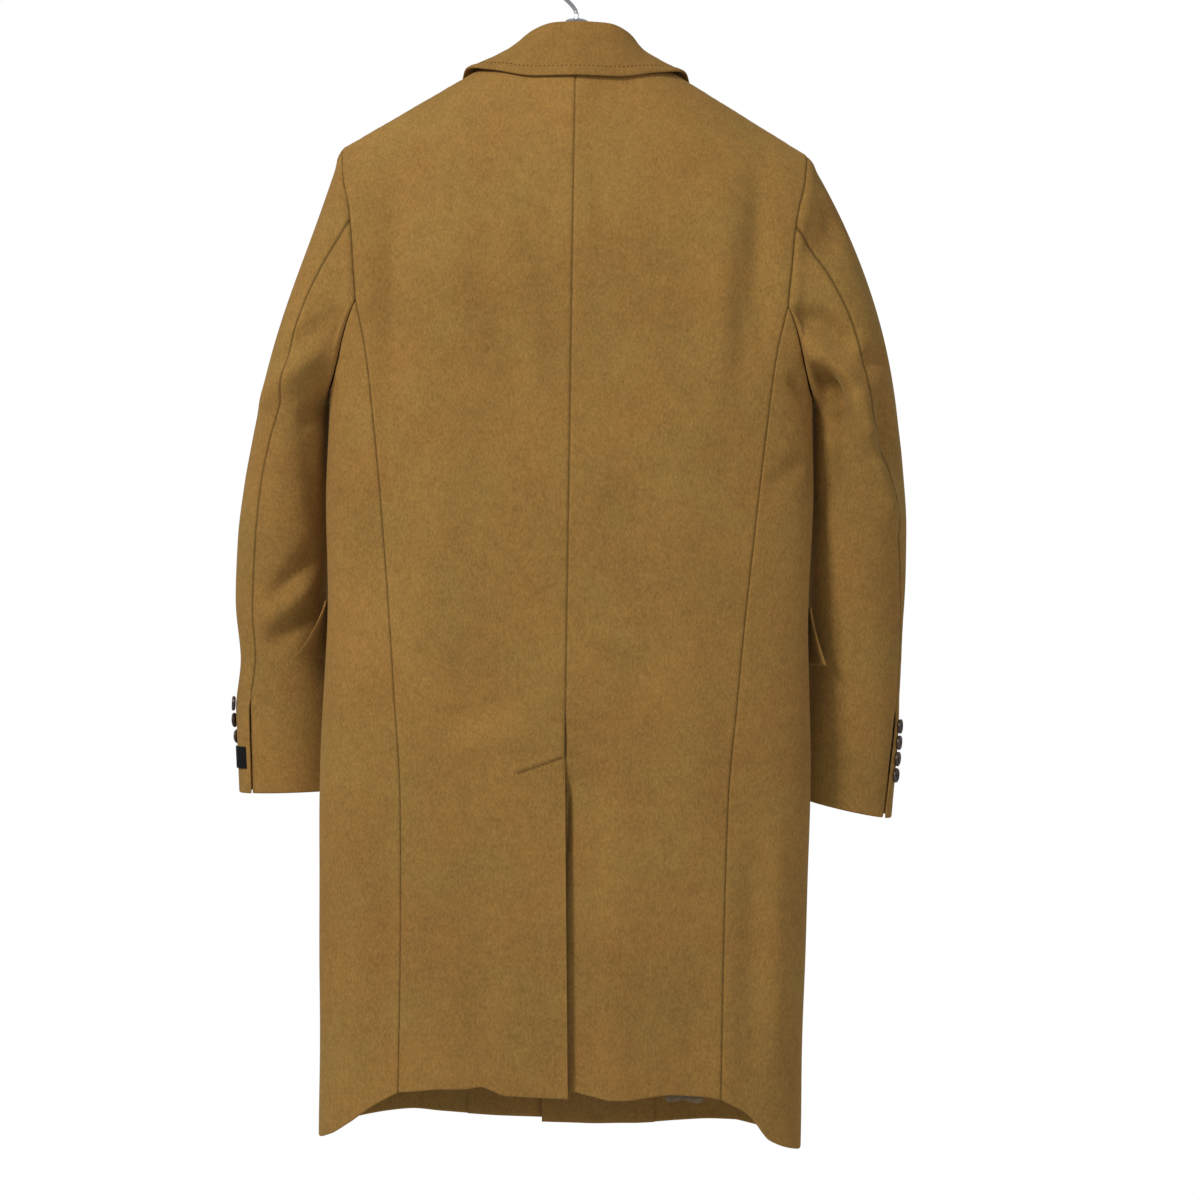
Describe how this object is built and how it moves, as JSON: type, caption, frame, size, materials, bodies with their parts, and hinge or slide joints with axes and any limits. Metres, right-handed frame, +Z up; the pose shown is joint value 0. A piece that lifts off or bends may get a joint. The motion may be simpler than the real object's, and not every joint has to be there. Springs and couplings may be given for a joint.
{
  "type": "wool overcoat on a hanger",
  "caption": "Knee-length camel wool overcoat with turned collar, notch lapels, two-piece sleeves with buttoned cuffs, flap pockets and a centre back vent, hanging open on a wooden hanger.",
  "frame": {"origin": "under the crown of the hanger's hook, where it rests on a rail", "axes": "+Z up, +Y the coat's back, +X the wearer's left; millimetre source scaled to metres"},
  "size_m": [0.6861, 0.1716, 1.186],
  "materials": {
    "wool": "soft brushed wool, camel",
    "facing": "wool, inner side",
    "lining": "smooth taupe lining",
    "button": "polished horn look",
    "label": "plain woven black",
    "wood": "satin",
    "metal": "satin"
  },
  "bodies": {
    "root": {"back_left": "wool", "back_right": "wool", "collar": "wool", "cuff_button_left_1": "button", "cuff_button_left_2": "button", "cuff_button_left_3": "button", "cuff_button_left_4": "button", "cuff_button_right_1": "button", "cuff_button_right_2": "button", "cuff_button_right_3": "button", "cuff_button_right_4": "button", "facing_left": "facing", "facing_right": "facing", "front_button_1": "button", "front_button_2": "button", "front_button_3": "button", "front_left": "wool", "front_right": "wool", "hanger_bar": "wood", "hanger_ferrule": "metal", "hanger_hook": "metal", "lapel_left": "wool", "lapel_right": "wool", "lining_strip": "lining", "pocket_flap_left": "wool", "pocket_flap_right": "wool", "side_left": "wool", "side_right": "wool", "sleeve_label": "label", "under_sleeve_left": "wool", "under_sleeve_right": "wool", "upper_sleeve_left": "wool", "upper_sleeve_right": "wool"}
  },
  "joints": []
}
